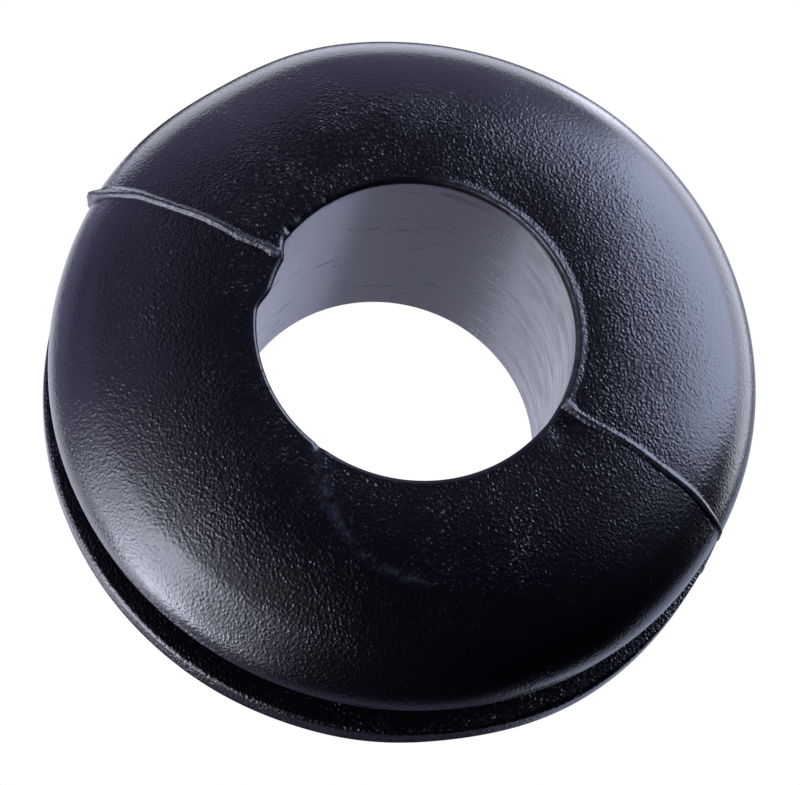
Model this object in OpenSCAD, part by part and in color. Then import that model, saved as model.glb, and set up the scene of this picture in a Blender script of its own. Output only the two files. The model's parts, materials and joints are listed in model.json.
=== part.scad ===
// Rubber panel grommet: a one-piece moulded ring with a plain bore, a groove round its
// waist that grips the edge of a panel, and a domed flange on each side of the panel.
// Units are millimetres. The origin is on the bore's axis, halfway across the groove, and
// +Z runs along the bore. The two halves of the mould met on the XZ plane.

/* [Ring] */
// Outside diameter of both flanges
flange_d = 14.3; // [12:0.1:20]
// Height over both domes, along the bore
height = 6.3; // [5.2:0.1:8]
// Diameter of the bore that the cable goes through
bore_d = 6.35; // [4:0.05:7]

/* [Panel groove] */
// Diameter at the bottom of the groove, which sits in the panel's hole
groove_d = 9.5; // [8.5:0.1:10.5]
// Width of the groove, which takes the panel's thickness
groove_w = 1.4; // [0.8:0.1:2]

/* [Dome] */
// Upright band at each flange's rim, between the groove and the rounded shoulder
rim_h = 0.25; // [0.1:0.05:0.5]
// Radius of the rounded shoulder
shoulder_r = 1.6; // [1:0.05:1.7]
// Radius of the rounded edge at each mouth of the bore
mouth_r = 0.12; // [0.05:0.01:0.6]
// Radius of the rim's edge beside the groove
lip_r = 0.08; // [0.04:0.01:0.1]

/* [Parting line] */
// How far the ridge of flash stands proud of the domes
flash_h = 0.1; // [0.04:0.01:0.2]
// Thickness of the ridge of flash
flash_t = 0.14; // [0.08:0.01:0.3]

/* [Hidden] */
$fn = 96;

flange_r = flange_d / 2;
bore_r = bore_d / 2;
groove_r = groove_d / 2;
groove_z = groove_w / 2;
dome_z = height / 2;

// The shoulder's centre, and the radius at which the dome is level and the mouth begins
shoulder_c = [flange_r - shoulder_r, groove_z + rim_h];
level_r = bore_r + mouth_r;

// The crown is the one arc that is level at level_r and runs smoothly into the shoulder.
// join_a is the slope angle, above the horizontal, of the radius where the two arcs meet.
crown_rise = dome_z - shoulder_c[1] - shoulder_r;
crown_run = shoulder_c[0] - level_r;
join_a = 90 - 2 * atan(crown_rise / crown_run);
crown_r = shoulder_r + crown_run / cos(join_a);
crown_c = [level_r, dome_z - crown_r];

// A length past every side of the section and every circle in it, for cutting out sectors
reach = 2 * (flange_d + crown_r);
// How far the shoulder's disc carries on under the crown's arc, so that the two are one shape
shoulder_overlap_a = 60;
// How far the flash stops short of each mouth's rounded edge
flash_gap = 0.05;

// The part of a disc between two directions, which are less than 180 degrees apart
module sector(centre, radius, from_a, to_a) {
    middle_a = (from_a + to_a) / 2;
    translate(centre)
        intersection() {
            circle(r = radius);
            polygon([
                [0, 0],
                reach * [cos(from_a), sin(from_a)],
                reach * [cos(middle_a), sin(middle_a)],
                reach * [cos(to_a), sin(to_a)]
            ]);
        }
}

// Section of the crown and shoulder over the flange, grown outwards by an amount
module dome_section(grow = 0) {
    intersection() {
        union() {
            sector(crown_c, crown_r + grow, join_a, 90);
            sector(shoulder_c, shoulder_r + grow, 0, join_a + shoulder_overlap_a);
            translate([level_r, groove_z])
                square([shoulder_c[0] - level_r, rim_h]);
        }
        translate([0, groove_z])
            square([reach, reach]);
    }
}

// Section of the upright rim, with its edge beside the groove rounded
module rim_section() {
    translate([level_r, groove_z])
        square([flange_r - lip_r - level_r, rim_h]);
    translate([level_r, groove_z + lip_r])
        square([flange_r - level_r, rim_h - lip_r]);
    translate([flange_r - lip_r, groove_z + lip_r])
        circle(r = lip_r);
}

// Section of the wall beside the bore, with its rounded mouth
module mouth_section() {
    translate([bore_r, 0])
        square([mouth_r, dome_z - mouth_r]);
    sector([level_r, dome_z - mouth_r], mouth_r, 90, 180);
}

// Half of the ring's section, above the middle of the groove
module half_section() {
    dome_section();
    rim_section();
    mouth_section();
    translate([level_r, 0])
        square([groove_r - level_r, groove_z]);
}

// A section for both halves, the lower one a mirror image
module both_halves() {
    children();
    mirror([0, 1])
        children();
}

// The thin ridge that the mould's parting plane leaves over both domes and down both rims
module flash() {
    intersection() {
        cube([reach, flash_t, reach], center = true);
        rotate_extrude()
            both_halves()
                difference() {
                    union() {
                        dome_section(flash_h);
                        translate([groove_r, groove_z])
                            square([flange_r + flash_h - groove_r, rim_h]);
                    }
                    square([level_r + flash_gap, reach]);
                }
    }
}

module grommet() {
    color([0.05, 0.05, 0.06]) {
        rotate_extrude()
            both_halves()
                half_section();
        flash();
    }
}

grommet();
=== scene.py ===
"""Rubber panel grommet: the looks of one moulded ring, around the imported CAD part.

The ring is one closed grid of quads: its section, carried once round the bore's axis. Sizes
are in millimetres until a mesh, a light or the camera is made, which is in metres.
"""

import json
import math

import bpy
import numpy as np
from mathutils import Matrix, Vector


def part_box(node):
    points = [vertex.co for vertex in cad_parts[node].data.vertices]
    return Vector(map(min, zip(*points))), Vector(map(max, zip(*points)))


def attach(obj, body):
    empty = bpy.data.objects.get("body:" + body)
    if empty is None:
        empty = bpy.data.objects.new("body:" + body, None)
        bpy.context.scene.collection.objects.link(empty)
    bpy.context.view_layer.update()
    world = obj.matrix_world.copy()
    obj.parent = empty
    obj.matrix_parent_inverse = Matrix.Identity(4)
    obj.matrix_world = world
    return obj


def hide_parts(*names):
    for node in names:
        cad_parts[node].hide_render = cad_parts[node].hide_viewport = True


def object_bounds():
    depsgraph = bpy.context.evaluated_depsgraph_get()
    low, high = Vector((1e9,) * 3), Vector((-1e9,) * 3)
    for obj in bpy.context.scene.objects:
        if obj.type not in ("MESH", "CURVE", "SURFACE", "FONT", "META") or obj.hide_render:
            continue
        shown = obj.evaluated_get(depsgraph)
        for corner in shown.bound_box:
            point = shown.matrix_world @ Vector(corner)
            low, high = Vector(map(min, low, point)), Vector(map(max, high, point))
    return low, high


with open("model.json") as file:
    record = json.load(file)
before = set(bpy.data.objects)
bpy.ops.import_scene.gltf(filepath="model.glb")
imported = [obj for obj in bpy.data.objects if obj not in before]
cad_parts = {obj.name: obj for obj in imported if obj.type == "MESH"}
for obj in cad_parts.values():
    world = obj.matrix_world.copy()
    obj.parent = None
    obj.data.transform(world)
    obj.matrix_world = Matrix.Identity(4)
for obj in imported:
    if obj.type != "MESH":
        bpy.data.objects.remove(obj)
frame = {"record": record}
cad_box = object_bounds()

MM = 0.001

# ---------------------------------------------------------------- sizes, from the frame
dims = {mount["name"]: mount["dims"] for mount in frame["record"]["mounts"]}
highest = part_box("grommet")[1]
BORE_R = dims["bore"]["r_mm"]
GROOVE_R = dims["panel_groove"]["r_mm"]
GROOVE_Z = dims["panel_groove"]["length_mm"] / 2
FLANGE_R = highest.y / MM
FLASH_H = (highest.x - highest.y) / MM
DOME_Z = highest.z / MM - FLASH_H
MOUTH_R = DOME_Z - dims["bore"]["length_mm"] / 2

# ---------------------------------------------------------------- sizes of the section
RIM_H = 0.25  # upright band at the flange's rim
SHOULDER_R = 1.6  # rounded shoulder
LIP_R = 0.08  # rim's edge beside the groove
ROOT_R = 0.1  # fillet at the bottom of the groove

# ---------------------------------------------------------------- the rubber's finish, in metres
ROUGHNESS = 0.24  # of the domes, apart from the relief of their grain
GRAIN_PER_METRE = 12000.0  # bumps of the grain along a metre
GRAIN_DEPTH = 0.0000083
MARK_DEPTH = 0.000008  # of the marks in the bore
BLACK = (0.0013, 0.0012, 0.0026, 1)  # untouched rubber
RUBBED = (0.013, 0.015, 0.027, 1)  # where something scuffed it
PAINTED_HIGHLIGHT_GREY = (0.05, 0.05, 0.07, 1)  # painted highlight: pale colour where the flash tore along the mould's edges, on the seam-end lumps and on the bead, for the light they catch
BEAD_PAINTED_HIGHLIGHT = 7  # share of the bead round the bore that is rougher and painted pale as a highlight, for each millimetre of its height

# ---------------------------------------------------------------- the grid's columns
SEAM_BAND = 0.6  # half-width of the strip of fine columns along the parting line
SEAM_COLUMNS = 22  # columns from the parting plane to the edge of that strip
FAR_COLUMNS = 146  # columns over the rest of each half turn


# ---------------------------------------------------------------- the section
def arc(centre, radius, start, stop, count, hollow=False):
    """Points and outward normals on a circle from one angle to another, in degrees.

    A point is centre + radius * (cos, sin); its normal is (cos, sin), or minus that where
    the arc is hollow, such as a fillet.
    """
    angle = np.radians(np.linspace(start, stop, count))
    normal = np.stack([np.cos(angle), np.sin(angle)], 1)
    return np.array(centre) + radius * normal, -normal if hollow else normal


def straight(start, stop, normal, count):
    """Evenly spaced points on a straight line, all with the same outward normal."""
    share = np.linspace(0, 1, count)[:, None]
    points = np.array(start) * (1 - share) + np.array(stop) * share
    return points, np.tile(np.array(normal, float), (count, 1))


def ring_section():
    """The closed section: its points and their outward normals, both with columns r and z.

    The upper half runs from the middle of the bore's wall over the mouth, crown, shoulder,
    rim and lip into the groove. The crown is the one arc that is level at the mouth and
    tangent to the shoulder. The lower half is its mirror image, walked back.
    """
    shoulder_c = (FLANGE_R - SHOULDER_R, GROOVE_Z + RIM_H)
    level_r = BORE_R + MOUTH_R
    rise = DOME_Z - shoulder_c[1] - SHOULDER_R
    run = shoulder_c[0] - level_r
    join = 90 - 2 * math.degrees(math.atan(rise / run))
    crown_r = SHOULDER_R + run / math.cos(math.radians(join))
    near = 90 - math.degrees(0.45 / crown_r)  # the crown's rows are closer together before it
    pieces = [
        straight((BORE_R, 0), (BORE_R, DOME_Z - 1), (-1, 0), 9),
        straight((BORE_R, DOME_Z - 1), (BORE_R, DOME_Z - MOUTH_R), (-1, 0), 13),
        arc((level_r, DOME_Z - MOUTH_R), MOUTH_R, 180, 90, 8),
        arc((level_r, DOME_Z - crown_r), crown_r, 90, near, 16),
        arc((level_r, DOME_Z - crown_r), crown_r, near, join, 34),
        arc(shoulder_c, SHOULDER_R, join, 0, 26),
        straight((FLANGE_R, shoulder_c[1]), (FLANGE_R, GROOVE_Z + LIP_R), (1, 0), 4),
        arc((FLANGE_R - LIP_R, GROOVE_Z + LIP_R), LIP_R, 0, -90, 6),
        straight((FLANGE_R - LIP_R, GROOVE_Z), (GROOVE_R + ROOT_R, GROOVE_Z), (0, -1), 8),
        arc((GROOVE_R + ROOT_R, GROOVE_Z - ROOT_R), ROOT_R, 90, 180, 5, hollow=True),
        straight((GROOVE_R, GROOVE_Z - ROOT_R), (GROOVE_R, 0), (1, 0), 4),
    ]
    points = np.concatenate([piece[0][:-1] for piece in pieces] + [[[GROOVE_R, 0]]])
    normals = np.concatenate([piece[1][:-1] for piece in pieces] + [[[1, 0]]])
    flip = np.array([1, -1])
    lower = slice(-2, 0, -1)
    points = np.concatenate([points, points[lower] * flip])
    normals = np.concatenate([normals, normals[lower] * flip])
    return points, normals


def column_angles(radius):
    """Angle of each column at each radius, as an array of rows by columns.

    Within SEAM_BAND of the parting plane the columns keep a constant distance y from it, so
    the angle is asin(y / r); between the two seams they are spread evenly.
    """
    share = np.linspace(0, 1, SEAM_COLUMNS + 1)
    offset = SEAM_BAND * share**1.25
    offset = np.concatenate([-offset[:0:-1], offset])
    near = np.arcsin(offset[None, :] / radius[:, None])
    edge = near[:, -1:]
    spread = np.linspace(0, 1, FAR_COLUMNS + 2)[1:-1][None, :]
    back = edge + (math.pi - 2 * edge) * spread
    return np.concatenate([near, back, math.pi + near, math.pi + back], 1)


# ---------------------------------------------------------------- smooth, repeatable unevenness
def wander(position, wavelength, seed):
    """A smooth line of noise, about -1 to 1: six sines of nearby wavelengths, summed."""
    draw = np.random.default_rng(seed)
    rate = 2 * math.pi / (wavelength * draw.uniform(0.6, 1.9, 6))
    phase = draw.uniform(0, 2 * math.pi, 6)
    waves = np.sin(np.asarray(position)[..., None] * rate + phase)
    return waves.sum(-1) / 2.4


def rolling(points, wavelength, seed):
    """Smooth noise in space, about -1 to 1: twelve plane waves in different directions."""
    draw = np.random.default_rng(seed)
    direction = draw.normal(size=(12, 3))
    direction /= np.linalg.norm(direction, axis=1, keepdims=True)
    rate = 2 * math.pi / (wavelength * draw.uniform(0.7, 1.6, 12))
    phase = draw.uniform(0, 2 * math.pi, 12)
    return np.sin(points @ (direction * rate[:, None]).T + phase).sum(-1) / 3.4


def bump(distance, width):
    """A smooth hump, exp(-(distance / width) squared)."""
    return np.exp(-((distance / width) ** 2))


def ramp(value, start, stop):
    """0 before start, 1 after stop, and a smooth S between them."""
    share = np.clip((value - start) / (stop - start), 0, 1)
    return share * share * (3 - 2 * share)


def turn_from(angle, degrees):
    """Signed turn in degrees, -180 to 180, from a named direction to each angle."""
    return (np.degrees(angle) - degrees + 180) % 360 - 180


# ---------------------------------------------------------------- features of the moulding
def parting_ridge(across, along, left, upper):
    """Height of the flash on the parting line, and the share of it that is torn, rougher and painted
    pale as a highlight.

    across is the distance from the parting plane, towards the back; along is the distance
    over the dome from the bore's mouth. On the left the ridge has a steep torn front and a
    straight back, gets wider towards the rim and ends in a tab. On the right it is low and
    even, with a steep front and a long back, and ends in a point; below the groove it is hardly
    there.
    """
    ragged = 0.006 * wander(along, 0.12, 4) + 0.008 * wander(along, 0.5, 6)
    middle = across - 0.03 * wander(along, 2.4, 3) - np.where(left, ragged, 0.2 * ragged)
    wide = 0.035 + 0.05 * ramp(along, 2.2, 4.2)
    front = ramp(middle, -wide - 0.045, -wide + 0.015)
    back = 1 - np.clip((middle + 0.2 * wide) / (1.1 * wide + 0.07), 0, 1)
    crest = 0.07 + 0.02 * ramp(along, 2.8, 4.4) + 0.008 * wander(along, 0.14, 5)
    crest += 0.1 * bump(along - 4.5, 0.3)
    left_side = crest * front * back
    point = ramp(along, 2.4, 4.7)
    low = np.where(upper, 0.048 * (1 - 0.5 * ramp(along, 4.5, 4.8)), 0.012)
    right_side = low * ramp(middle, -0.045, -0.005) * (1 - ramp(middle, 0.03, 0.13 - 0.07 * point))
    # painted highlight: a pale, rougher band along the left ridge's front edge and a weaker one over
    # the whole ridge; on the right, one along the ridge's middle
    torn_and_highlight_left = bump(middle + wide + 0.01, 0.024) * (0.6 + 0.4 * wander(along, 0.1, 8))
    torn_and_highlight_left += 0.3 * front * back
    torn_and_highlight_right = (0.35 + 0.3 * point) * bump(middle - 0.01, 0.035)
    return np.where(left, left_side, right_side), np.where(left, torn_and_highlight_left, torn_and_highlight_right * upper)


def mouth_bead(out, angle):
    """Height of the thin raised lip round the right side of the bore's upper mouth.

    It is highest at the edge of the bore's wall and falls in a straight line away from it.
    """
    turn = turn_from(angle, 56)
    window = ramp(turn, -57, -53) * (1 - ramp(turn, 40, 66))
    height = 0.045 * (1 + 0.12 * wander(np.degrees(angle), 9.0, 11))
    return window * height * ramp(out, -0.12, -0.04) * np.clip(1 - (out + 0.04) / 0.15, 0, 1)


def seam_ends(across, out, angle):
    """Lumps where the parting line meets the bore's upper mouth.

    Returns their height, how far the mouth's edge leans into the bore, and the share that is
    rougher and painted pale as a highlight. On the left there is a small star of flash on the dome,
    and a smooth tab that bulges into the bore; on the right a chip that stands up, with a shallow
    hollow in front of it.
    """
    left = turn_from(angle, 180)
    right = turn_from(angle, 0)
    star = bump(across + 0.07, 0.045) * bump(out - 0.1, 0.07)
    arm = bump(across - 0.35 * out - 0.02, 0.03) * bump(out - 0.12, 0.1)
    tab = ramp(left, -7, 1) * (1 - ramp(left, 13, 24)) * ramp(out, -0.8, -0.2) * (1 - ramp(out, 0, 0.5))
    chip = bump(across - 0.07, 0.065) * bump(out - 0.07, 0.12)
    hollow = bump(right + 7, 5) * bump(out - 0.25, 0.35)
    near_left, near_right = abs(left) < 30, abs(right) < 30
    height = near_left * (0.05 * star + 0.03 * arm) + near_right * (0.08 * chip - 0.05 * hollow)
    # painted highlight: the star, its arm and the chip get a share that is painted pale and made
    # rougher
    return height, near_left * 0.19 * tab, near_left * (star + 0.6 * arm) + near_right * chip


def mouth_wear(out, angle):
    """Depth of the ragged stretch and of the one nick in the edge of the bore's upper mouth."""
    turn = turn_from(angle, 162)
    ragged = ramp(abs(turn), 14, 9) * np.clip(wander(np.degrees(angle), 5.0, 31), 0, 1)
    nick = bump(turn_from(angle, -99), 1.4)
    return (0.05 * ragged + 0.06 * nick) * bump(out + 0.06, 0.1)


def flange_swell(out, angle, upper):
    """How far the rims are out of round: flat at the back left above, swollen in front below."""
    rim = ramp(out, 1.5, 3.8)
    flat = -0.07 * bump(turn_from(angle, 153), 13)
    return rim * np.where(upper, flat, 0.09 * bump(turn_from(angle, -30), 15))


def rubbed_arc(x, y):
    """Share, 0 to 1, of the faint scuff that curls over the front of the upper dome.

    It follows a circle of 2 mm radius and spreads into a smear at the end beside the bore.
    """
    from_x, from_y = x - 1.7, y + 2.7
    turn = np.degrees(np.arctan2(from_y, from_x))
    smear = ramp(-turn, 120, 155)
    track = bump(np.hypot(from_x, from_y) - 2 - 0.12 * smear, 0.075 + 0.14 * smear)
    return track * ramp(turn, -172, -160) * (1 - ramp(turn, -75, -50)) * (1 - 0.35 * smear)


def ring_quads(rows, columns):
    """The grid's faces: each joins a point to the next column and the next row, closed both ways."""
    row, column = np.meshgrid(np.arange(rows), np.arange(columns), indexing="ij")
    next_row, next_column = (row + 1) % rows, (column + 1) % columns
    corners = ((row, column), (row, next_column), (next_row, next_column), (next_row, column))
    return np.stack([at_row * columns + at_column for at_row, at_column in corners], -1).reshape(-1, 4)


def ring_mesh():
    """The ring as (vertices in metres, quads, and the shares that the material reads).

    out is the distance along the section from the bore's rounded mouth, the same in both
    halves. A point moves along the section's normal by the sum of the features that are there,
    and towards the axis by the bulge of the tab.
    """
    section, normal = ring_section()
    step = np.linalg.norm(np.diff(section, axis=0, append=section[:1]), axis=1)
    along_wall = np.concatenate([[0], np.cumsum(step)[:-1]])
    r, z = section[:, :1], section[:, 1:]
    nr, nz = normal[:, :1], normal[:, 1:]
    angle = column_angles(section[:, 0])
    x, y = r * np.cos(angle), r * np.sin(angle)
    points = np.stack([x, y, np.broadcast_to(z, x.shape)], -1)
    outward = np.stack([nr * np.cos(angle), nr * np.sin(angle), np.broadcast_to(nz, x.shape)], -1)

    upper = z >= 0
    mouth = DOME_Z - MOUTH_R + MOUTH_R * math.pi / 2
    half_way = along_wall[np.argmin(abs(section[:, 0] - GROOVE_R) + abs(section[:, 1]))]
    out = np.where(upper[:, 0], along_wall, 2 * half_way - along_wall)[:, None] - mouth
    rim_end = out[section[:, 1] > GROOVE_Z + LIP_R].max()
    left = np.cos(angle) < 0
    on_dome = ramp(out, -0.06, 0.02) * (1 - ramp(out, rim_end, rim_end + 0.06))

    ridge, rough_and_painted_highlight = parting_ridge(y, out, left, upper)
    lumps, inward, frayed_and_painted_highlight = seam_ends(y, out, angle)
    bead = mouth_bead(out, angle)
    proud = on_dome * ridge
    proud += on_dome * 0.022 * ramp(y, -0.03, 0.05) * bump(y, 1.6)  # a step at the parting plane
    proud += 0.01 * on_dome * rolling(points, 3.5, 21) + flange_swell(out, angle, upper)
    proud += upper * (lumps + bead - mouth_wear(out, angle))
    # painted highlight: the flash, the seam-end lumps and the bead get a share that the material paints
    # pale and makes rougher
    rough_and_painted_highlight = np.clip(on_dome * rough_and_painted_highlight + upper * (frayed_and_painted_highlight + BEAD_PAINTED_HIGHLIGHT * bead), 0, 1)
    softer = 0.58 + 0.22 * np.sin(angle)  # the grain fades more on the back shoulder
    grain = np.where(upper, 1 - softer * ramp(out, 1.4, 3.2), 1.2)
    scuff = upper * on_dome * rubbed_arc(x, y)
    to_axis = np.stack([-np.cos(angle), -np.sin(angle), np.zeros_like(angle)], -1)
    points = points + proud[..., None] * outward + (upper * inward)[..., None] * to_axis

    in_bore = np.broadcast_to(1 - ramp(out, -0.04, 0.04), angle.shape)
    shares = {"in_bore": in_bore, "scuff": scuff, "rough_and_painted_highlight": rough_and_painted_highlight, "grain": grain}
    shares = {name: share.reshape(-1) for name, share in shares.items()}
    return points.reshape(-1, 3) * MM, ring_quads(*angle.shape), shares


def make_ring():
    """The moulded ring as one mesh, smooth all over, with its faces pointing outwards."""
    vertices, quads, shares = ring_mesh()
    mesh = bpy.data.meshes.new("moulded_ring")
    mesh.from_pydata(vertices, [], quads)
    mesh.update()
    for name, share in shares.items():
        mark = mesh.attributes.new(name, "FLOAT", "POINT")
        mark.data.foreach_set("value", share.astype(np.float32))
    mesh.polygons.foreach_set("use_smooth", np.ones(len(mesh.polygons), bool))
    ring = bpy.data.objects.new("moulded_ring", mesh)
    bpy.context.scene.collection.objects.link(ring)
    return ring


# ---------------------------------------------------------------- the rubber's finish
def node(tree, kind, inputs=(), **settings):
    """Adds a shader node; inputs maps a socket to a value or to the socket that feeds it."""
    made = tree.nodes.new(kind)
    for name, value in settings.items():
        setattr(made, name, value)
    for name, value in dict(inputs).items():
        if isinstance(value, bpy.types.NodeSocket):
            tree.links.new(value, made.inputs[name])
        else:
            made.inputs[name].default_value = value
    return made


def maths(tree, operation, first, second=0.0, third=0.0):
    """One Math node's result."""
    return node(tree, "ShaderNodeMath", {0: first, 1: second, 2: third}, operation=operation).outputs[0]


def mixed(tree, share, first, second):
    """Two colours mixed: the first where share is 0, the second where it is 1."""
    mix = node(tree, "ShaderNodeMix", {"Factor": share}, data_type="RGBA")
    for socket, colour in ((mix.inputs[6], first), (mix.inputs[7], second)):
        if isinstance(colour, bpy.types.NodeSocket):
            tree.links.new(colour, socket)
        else:
            socket.default_value = colour
    return mix.outputs[2]


def group(name, inputs, outputs):
    """An empty shader node group with named sockets: its tree, its inputs and its output node."""
    tree = bpy.data.node_groups.new(name, "ShaderNodeTree")
    for label, kind in inputs.items():
        tree.interface.new_socket(label, in_out="INPUT", socket_type="NodeSocket" + kind)
    for label, kind in outputs.items():
        tree.interface.new_socket(label, in_out="OUTPUT", socket_type="NodeSocket" + kind)
    return tree, tree.nodes.new("NodeGroupInput").outputs, tree.nodes.new("NodeGroupOutput").inputs


def spark_grain():
    """Group: the relief of a spark-eroded mould, scattered round bumps and finer dust.

    A bump falls from 1 to 0 with the distance from its centre, and some are lower than others;
    noise is added, and the whole is shallower in some patches.
    """
    wanted = {"Place": "Vector", "Bumps per metre": "Float", "Depth": "Float", "Share": "Float"}
    tree, given, result = group("spark_grain", wanted, {"Normal": "Vector"})
    place, scale = given["Place"], given["Bumps per metre"]
    cells = node(tree, "ShaderNodeTexVoronoi", {"Vector": place, "Scale": scale}, feature="F1")
    fall = {"From Min": 0.0, "From Max": 0.55, "To Min": 1.0, "To Max": 0.0}
    fall["Value"] = cells.outputs["Distance"]
    domed = node(tree, "ShaderNodeMapRange", fall, interpolation_type="SMOOTHSTEP").outputs["Result"]
    lower = maths(tree, "MULTIPLY_ADD", cells.outputs["Color"], 1.0, 0.2)
    uneven = maths(tree, "MULTIPLY", domed, lower)
    fine = maths(tree, "MULTIPLY", scale, 1.3)
    dust = node(tree, "ShaderNodeTexNoise", {"Vector": place, "Scale": fine, "Detail": 2.0})
    patch = node(tree, "ShaderNodeTexNoise", {"Vector": place, "Scale": 900.0, "Detail": 1.0})
    rough = maths(tree, "MULTIPLY_ADD", dust.outputs["Fac"], 2.2, uneven)
    shallow = maths(tree, "MULTIPLY_ADD", patch.outputs["Fac"], 1.6, 0.2)
    height = maths(tree, "MULTIPLY", maths(tree, "MULTIPLY", rough, shallow), given["Share"])
    relief = node(tree, "ShaderNodeBump", {"Height": height, "Distance": given["Depth"]})
    tree.links.new(relief.outputs["Normal"], result["Normal"])
    return tree


def drawn_streaks():
    """Group: short marks that run round the bore at a slight slant, more of them on the +X side.

    Noise squeezed along a line near the axis, and kept where it is above a level that is lower
    on the +X side; Streaks is 0 to 1.
    """
    tree, given, result = group("drawn_streaks", {"Place": "Vector"}, {"Streaks": "Float"})
    turned = {"Vector": given["Place"], "Rotation": (0.25, 0.35, 0.0), "Scale": (1.0, 1.0, 4.0)}
    squeeze = node(tree, "ShaderNodeMapping", turned).outputs["Vector"]
    noise = {"Vector": squeeze, "Scale": 800.0, "Detail": 5.0, "Roughness": 0.7}
    streaks = node(tree, "ShaderNodeTexNoise", noise).outputs["Fac"]
    across = node(tree, "ShaderNodeSeparateXYZ", {"Vector": given["Place"]}).outputs["X"]
    side = node(tree, "ShaderNodeMapRange", {"Value": across, "From Min": -0.0012, "From Max": 0.0012})
    start = maths(tree, "MULTIPLY_ADD", side.outputs["Result"], -0.12, 0.59)
    sharp = node(tree, "ShaderNodeMapRange", {"Value": streaks, "From Min": start, "From Max": 0.75})
    tree.links.new(sharp.outputs["Result"], result["Streaks"])
    return tree


def black_rubber():
    """Satin black rubber: grained on the domes, smoother and marked in the bore."""
    material = bpy.data.materials.new("black_rubber")
    material.use_nodes = True
    tree = material.node_tree
    shader = tree.nodes["Principled BSDF"]
    place = node(tree, "ShaderNodeTexCoord").outputs["Object"]
    bore = node(tree, "ShaderNodeAttribute", attribute_name="in_bore").outputs["Fac"]
    scuff = node(tree, "ShaderNodeAttribute", attribute_name="scuff").outputs["Fac"]

    grain = node(tree, "ShaderNodeGroup", node_tree=spark_grain())
    grain.inputs["Bumps per metre"].default_value = GRAIN_PER_METRE
    grain.inputs["Depth"].default_value = GRAIN_DEPTH
    tree.links.new(place, grain.inputs["Place"])
    strength = node(tree, "ShaderNodeAttribute", attribute_name="grain").outputs["Fac"]
    smoother = maths(tree, "MULTIPLY_ADD", bore, -0.8, 1.0)
    tree.links.new(maths(tree, "MULTIPLY", strength, smoother), grain.inputs["Share"])

    streaks = node(tree, "ShaderNodeGroup", node_tree=drawn_streaks())
    tree.links.new(place, streaks.inputs["Place"])
    in_streak = maths(tree, "MULTIPLY", streaks.outputs["Streaks"], bore)
    marks = {"Height": in_streak, "Distance": MARK_DEPTH, "Normal": grain.outputs["Normal"]}
    tree.links.new(node(tree, "ShaderNodeBump", marks).outputs["Normal"], shader.inputs["Normal"])
    noise = {"Vector": place, "Scale": 6000.0, "Detail": 3.0}
    specks = node(tree, "ShaderNodeTexNoise", noise).outputs["Fac"]
    gaps = {"Value": specks, "From Min": 0.35, "From Max": 0.65}
    broken = node(tree, "ShaderNodeMapRange", gaps).outputs["Result"]
    rubbed = maths(tree, "MULTIPLY", scuff, broken)
    # painted highlight: this share is rougher and is mixed towards a pale grey below, broken up by the
    # specks
    rough_and_painted_highlight = node(tree, "ShaderNodeAttribute", attribute_name="rough_and_painted_highlight").outputs["Fac"]
    frayed_and_painted_highlight = maths(tree, "MULTIPLY", rough_and_painted_highlight, maths(tree, "MULTIPLY_ADD", broken, 0.7, 0.3))

    roughness = ROUGHNESS
    for mask, rougher in ((bore, 0.07), (in_streak, 0.16), (rubbed, 0.2), (frayed_and_painted_highlight, 0.3)):
        roughness = maths(tree, "MULTIPLY_ADD", mask, rougher, roughness)
    tree.links.new(roughness, shader.inputs["Roughness"])
    colour = mixed(tree, rubbed, BLACK, RUBBED)
    # painted highlight: the flash, the seam-end lumps and the bead are mixed towards a pale grey for
    # the light they catch
    colour = mixed(tree, frayed_and_painted_highlight, colour, PAINTED_HIGHLIGHT_GREY)
    tree.links.new(colour, shader.inputs["Base Color"])
    shader.inputs["IOR"].default_value = 1.55
    return material


# ---------------------------------------------------------------- camera, floor and lights
def direction(azimuth, elevation):
    """Unit vector for an angle round from +X and an angle above the horizon, in degrees."""
    turn, rise = math.radians(azimuth), math.radians(elevation)
    return Vector((math.cos(turn) * math.cos(rise), math.sin(turn) * math.cos(rise), math.sin(rise)))


def make_camera():
    """A long lens above the front of the ring, rolled so that the bore's axis leans right."""
    distance = 15.99 * FLANGE_R * MM
    aim = Vector((0.0104, -0.0091, 0)) * FLANGE_R * MM
    back = direction(-78.49, 67.04)
    roll = Matrix.Rotation(math.radians(17.64), 3, "Z")
    data = bpy.data.cameras.new("camera")
    data.sensor_width = 36.0
    data.lens = 253.8
    data.clip_start, data.clip_end = distance * 0.1, distance * 20
    camera = bpy.data.objects.new("camera", data)
    turned = (back.to_track_quat("Z", "Y").to_matrix() @ roll).to_4x4()
    camera.matrix_world = Matrix.Translation(aim + back * distance) @ turned
    bpy.context.scene.collection.objects.link(camera)
    bpy.context.scene.camera = camera


def area_light(name, shape, width, area, radiance, colour):
    """A panel of light that the camera doesn't see; its power is pi * area * radiance."""
    data = bpy.data.lights.new(name, "AREA")
    data.shape = shape
    data.size = width
    data.energy = math.pi * area * radiance
    data.color = colour
    light = bpy.data.objects.new(name, data)
    light.visible_camera = False
    bpy.context.scene.collection.objects.link(light)
    return light


def softbox(name, azimuth, elevation, half_wide, half_high, radiance, colour):
    """A soft panel facing the ring, by the angles it covers as seen from the ring.

    Its sides are 2 * distance * tan(half angle).
    """
    distance = 0.15
    towards = direction(azimuth, elevation)
    width = 2 * distance * math.tan(math.radians(half_wide))
    height = 2 * distance * math.tan(math.radians(half_high))
    light = area_light(name, "RECTANGLE", width, width * height, radiance, colour)
    light.data.size_y = height
    light.location = towards * distance
    light.rotation_mode = "QUATERNION"
    light.rotation_quaternion = towards.to_track_quat("Z", "Y")


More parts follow.
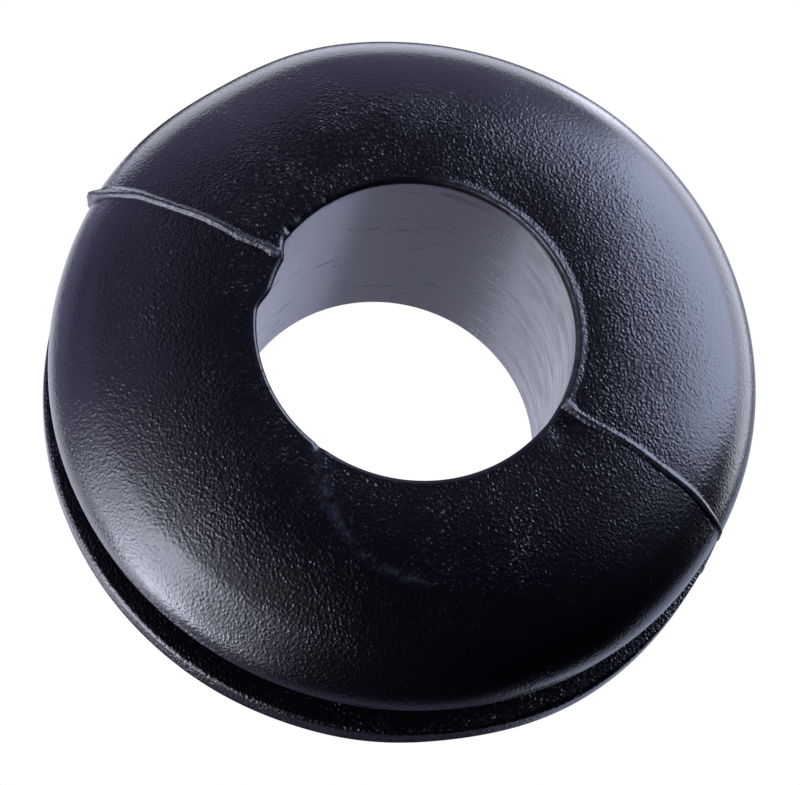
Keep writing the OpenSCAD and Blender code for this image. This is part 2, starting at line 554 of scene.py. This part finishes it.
def bore_glow(radiance, colour):
    """A round panel across the bore's lower mouth, facing up, like a lit bench under the hole."""
    radius = BORE_R * MM
    light = area_light("bore_glow", "DISK", 2 * radius, math.pi * radius**2, radiance, colour)
    light.location = (0, 0, -(DOME_Z + MOUTH_R / 2) * MM)
    light.rotation_euler = (math.pi, 0, 0)


def make_lights():
    """Soft panels all round, bright at the back right and the left front, dark in front.

    Each softbox gives its azimuth, elevation and two half angles in degrees, then its radiance.
    """
    cool, plain, violet = (0.9, 1.02, 1.4), (0.97, 1.0, 1.2), (0.97, 0.93, 1.65)
    softbox("key_right", 62, 20, 25, 19, 5.4, cool)
    softbox("key_right_low", 62, -19, 30, 17, 3.3, plain)
    softbox("back_low", 120, -19, 30, 17, 2.6, plain)
    softbox("back_high", 135, 17, 42, 17, 0.5, violet)
    softbox("left_low", 180, -19, 28, 17, 0.6, violet)
    softbox("left_high", 195, 17, 15, 17, 0.6, violet)
    softbox("key_left", 240, -3, 11, 46, 8.2, plain)
    softbox("edge_left", 221, 4, 9, 40, 3.6, plain)
    softbox("edge_front", 259, 0, 10, 40, 1.7, plain)
    softbox("under_left", 180, -58, 26, 16, 1.2, plain)
    softbox("under_right", 50, -60, 30, 16, 0.6, cool)
    softbox("under_front", 282, -70, 24, 12, 0.12, violet)
    softbox("above_front", 234, 46, 18, 12, 0.75, plain)
    softbox("above_left", 185, 50, 24, 14, 0.35, violet)
    softbox("above_right", 55, 50, 24, 12, 0.2, violet)
    softbox("above", 101, 70, 24, 18, 0.06, violet)
    bore_glow(0.55, (0.96, 0.97, 1.3))


def make_floor():
    """A plain white floor under the ring, lit from below like a light table."""
    material = bpy.data.materials.new("white_floor")
    material.use_nodes = True
    tree = material.node_tree
    tree.nodes.clear()
    glow = node(tree, "ShaderNodeEmission", {"Color": (1, 1, 1, 1), "Strength": 1.0})
    node(tree, "ShaderNodeOutputMaterial", {"Surface": glow.outputs["Emission"]})
    size = 200 * FLANGE_R * MM
    mesh = bpy.data.meshes.new("floor")
    corners = [(sx * size, sy * size, cad_box[0].z) for sx, sy in ((-1, -1), (1, -1), (1, 1), (-1, 1))]
    mesh.from_pydata(corners, [], [(0, 1, 2, 3)])
    mesh.materials.append(material)
    floor = bpy.data.objects.new("floor", mesh)
    bpy.context.scene.collection.objects.link(floor)
    floor.visible_diffuse = False
    floor.visible_glossy = False
    floor.visible_shadow = False


def make_world():
    """White beyond the floor for the camera, and dark for everything else."""
    world = bpy.data.worlds.new("studio")
    bpy.context.scene.world = world
    world.use_nodes = True
    tree = world.node_tree
    seen = node(tree, "ShaderNodeLightPath").outputs["Is Camera Ray"]
    backdrop = tree.nodes["Background"]
    backdrop.inputs["Color"].default_value = (1, 1, 1, 1)
    tree.links.new(seen, backdrop.inputs["Strength"])


make_camera()
make_world()
make_floor()
make_lights()
bpy.context.scene.view_settings.view_transform = "Standard"

ring = make_ring()
ring.data.materials.append(black_rubber())
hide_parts("grommet")
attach(ring, "root")
